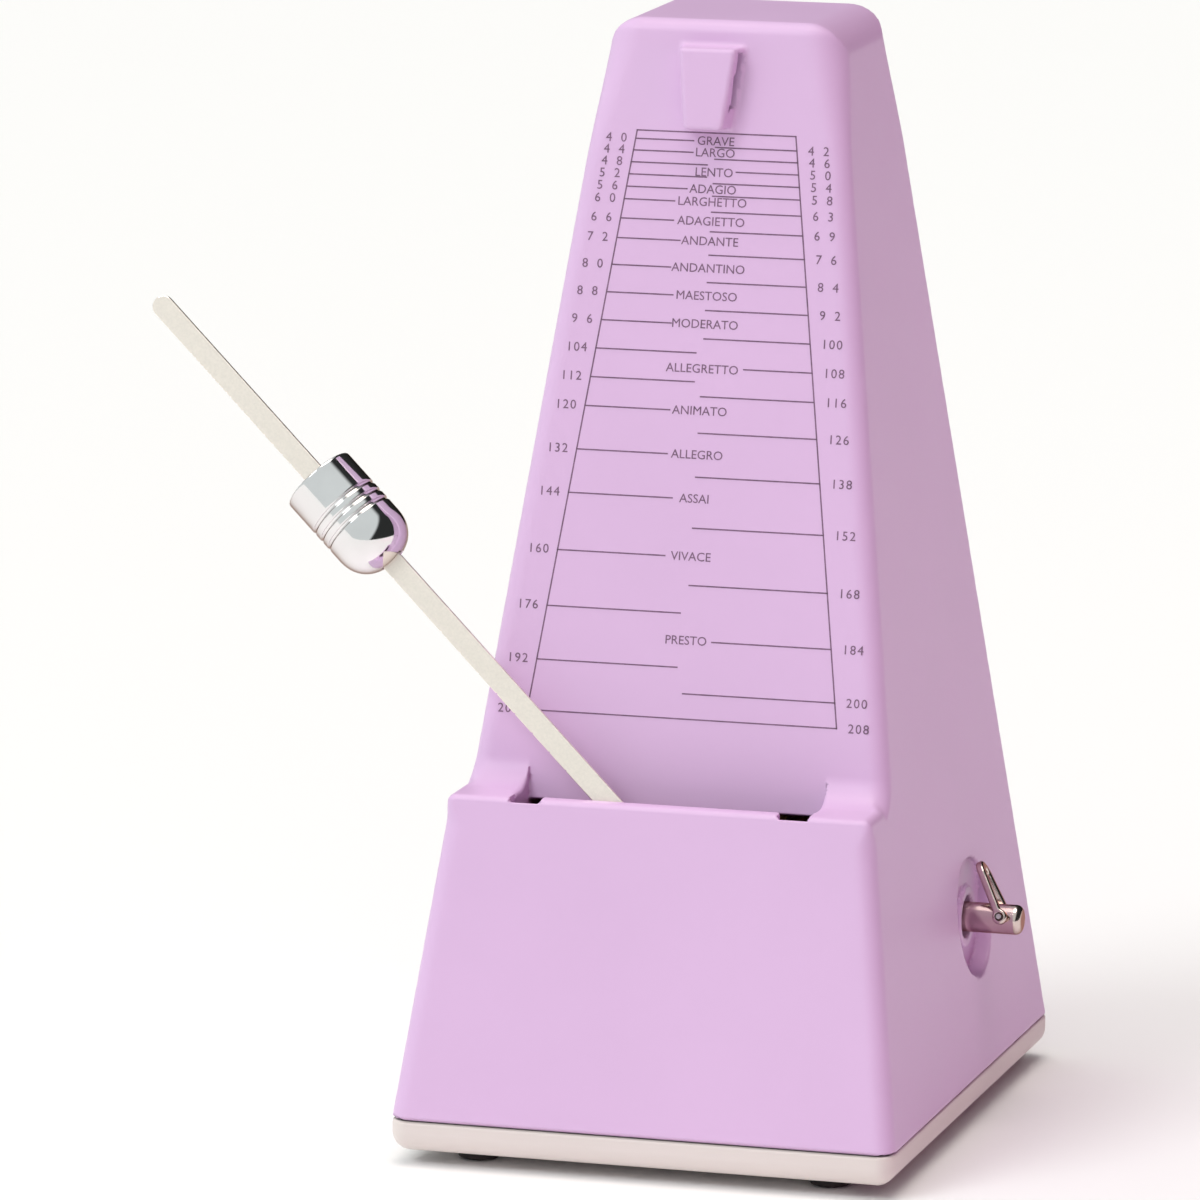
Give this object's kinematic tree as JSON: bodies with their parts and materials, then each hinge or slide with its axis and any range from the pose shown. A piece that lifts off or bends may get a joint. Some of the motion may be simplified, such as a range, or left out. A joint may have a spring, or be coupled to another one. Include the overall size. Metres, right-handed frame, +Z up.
{
  "type": "wind-up metronome",
  "caption": "Wind-up pendulum metronome: tapered plastic case with a printed tempo scale, swinging rod with a sliding weight, folding key and a clockwork movement inside.",
  "frame": {"origin": "centre of the base plate's flat underside, 2.5 mm above the surface that the feet stand on", "axes": "+Z up, -Y towards the dial and the pendulum, +X towards the winding key"},
  "size_m": [0.1716, 0.127, 0.2242],
  "materials": {
    "lilac_case": "satin gloss moulded plastic, smooth, with a soft wide highlight",
    "cream_base": "smooth moulded plastic, a little less glossy than the case",
    "rubber_feet": "matt dark rubber",
    "steel_parts": "turned and polished steel",
    "brass_movement": "lightly brushed clock brass",
    "spring_steel": "blued spring steel",
    "dark_counterweight": "dark cast metal with a fine grain",
    "pendulum_steel": "warm bright flat strip, brushed along its length",
    "chrome_weight": "polished nickel chrome with soft edges",
    "chrome_key": "polished nickel with slight wear on the edges"
  },
  "bodies": {
    "case": {"case_shell": "lilac_case", "base_plate": "cream_base", "foot_pad_front_left": "rubber_feet", "foot_pad_front_right": "rubber_feet", "foot_pad_rear_left": "rubber_feet", "foot_pad_rear_right": "rubber_feet", "case_screw_front_left": "steel_parts", "case_screw_front_right": "steel_parts", "case_screw_rear_left": "steel_parts", "case_screw_rear_right": "steel_parts", "movement_screw_front_left": "steel_parts", "movement_screw_front_right": "steel_parts", "movement_screw_rear_left": "steel_parts", "movement_screw_rear_right": "steel_parts", "movement_plate_left": "brass_movement", "movement_plate_right": "brass_movement", "pillar_1": "brass_movement", "pillar_2": "brass_movement", "pillar_3": "brass_movement", "pillar_4": "brass_movement", "front_cock": "brass_movement", "rear_cock": "brass_movement", "click_screw": "steel_parts", "click_spring": "spring_steel"},
    "pendulum": {"pendulum_rod": "pendulum_steel", "pendulum_arbor": "steel_parts", "pendulum_hub": "brass_movement", "pallet_front": "steel_parts", "pallet_rear": "steel_parts", "counterweight": "dark_counterweight", "counterweight_rivet": "steel_parts"},
    "sliding_weight": {"tempo_weight": "chrome_weight", "weight_spring": "spring_steel"},
    "barrel": {"barrel_drum": "brass_movement", "great_wheel": "brass_movement", "barrel_cover": "brass_movement", "mainspring": "spring_steel"},
    "second_shaft": {"second_arbor": "steel_parts", "second_pinion": "steel_parts", "second_wheel": "brass_movement"},
    "escape_shaft": {"escape_arbor": "steel_parts", "escape_pinion": "steel_parts", "escape_wheel": "brass_movement"},
    "winding_shaft": {"winding_arbor": "chrome_key", "ratchet_wheel": "steel_parts", "key_pin": "steel_parts"},
    "key": {"key_bail": "chrome_key"},
    "click": {"click": "steel_parts"}
  },
  "joints": [
    {"name": "pendulum_swing", "type": "hinge", "parent": "case", "child": "pendulum", "pos_m": [0, -0.04759, 0.0597], "axis": [0, 0.9783, -0.2074], "range_deg": [0, 93.4]},
    {"name": "weight_slide", "type": "slide", "parent": "pendulum", "child": "sliding_weight", "axis": [-0.7278, 0.1422, 0.6709], "range_m": [-0.0555, 0.039]},
    {"name": "barrel_turn", "type": "hinge", "parent": "case", "child": "barrel", "pos_m": [0, 0.0155, 0.0373], "axis": [1, 0, 0], "continuous": true},
    {"name": "second_turn", "type": "hinge", "parent": "case", "child": "second_shaft", "pos_m": [0, -0.00855, 0.04197], "axis": [1, 0, 0], "continuous": true},
    {"name": "escape_turn", "type": "hinge", "parent": "case", "child": "escape_shaft", "pos_m": [0, -0.02531, 0.04086], "axis": [1, 0, 0], "continuous": true},
    {"name": "winding_turn", "type": "hinge", "parent": "case", "child": "winding_shaft", "pos_m": [0.02, 0.0155, 0.0373], "axis": [1, 0, 0], "continuous": true},
    {"name": "key_fold", "type": "hinge", "parent": "winding_shaft", "child": "key", "pos_m": [0.0544, 0.0155, 0.0373], "axis": [0, 0.9511, -0.309], "range_deg": [0, 221]},
    {"name": "click_lift", "type": "hinge", "parent": "case", "child": "click", "pos_m": [0.0193, 0.0225, 0.04942], "axis": [1, 0, 0], "range_deg": [-12, 0], "stiffness_Nm_per_rad": 0.004, "springref_deg": 8.59}
  ],
  "couplings": [
    {"joint": "second_turn", "follows": "barrel_turn", "ratio": -6},
    {"joint": "escape_turn", "follows": "barrel_turn", "ratio": 36}
  ]
}
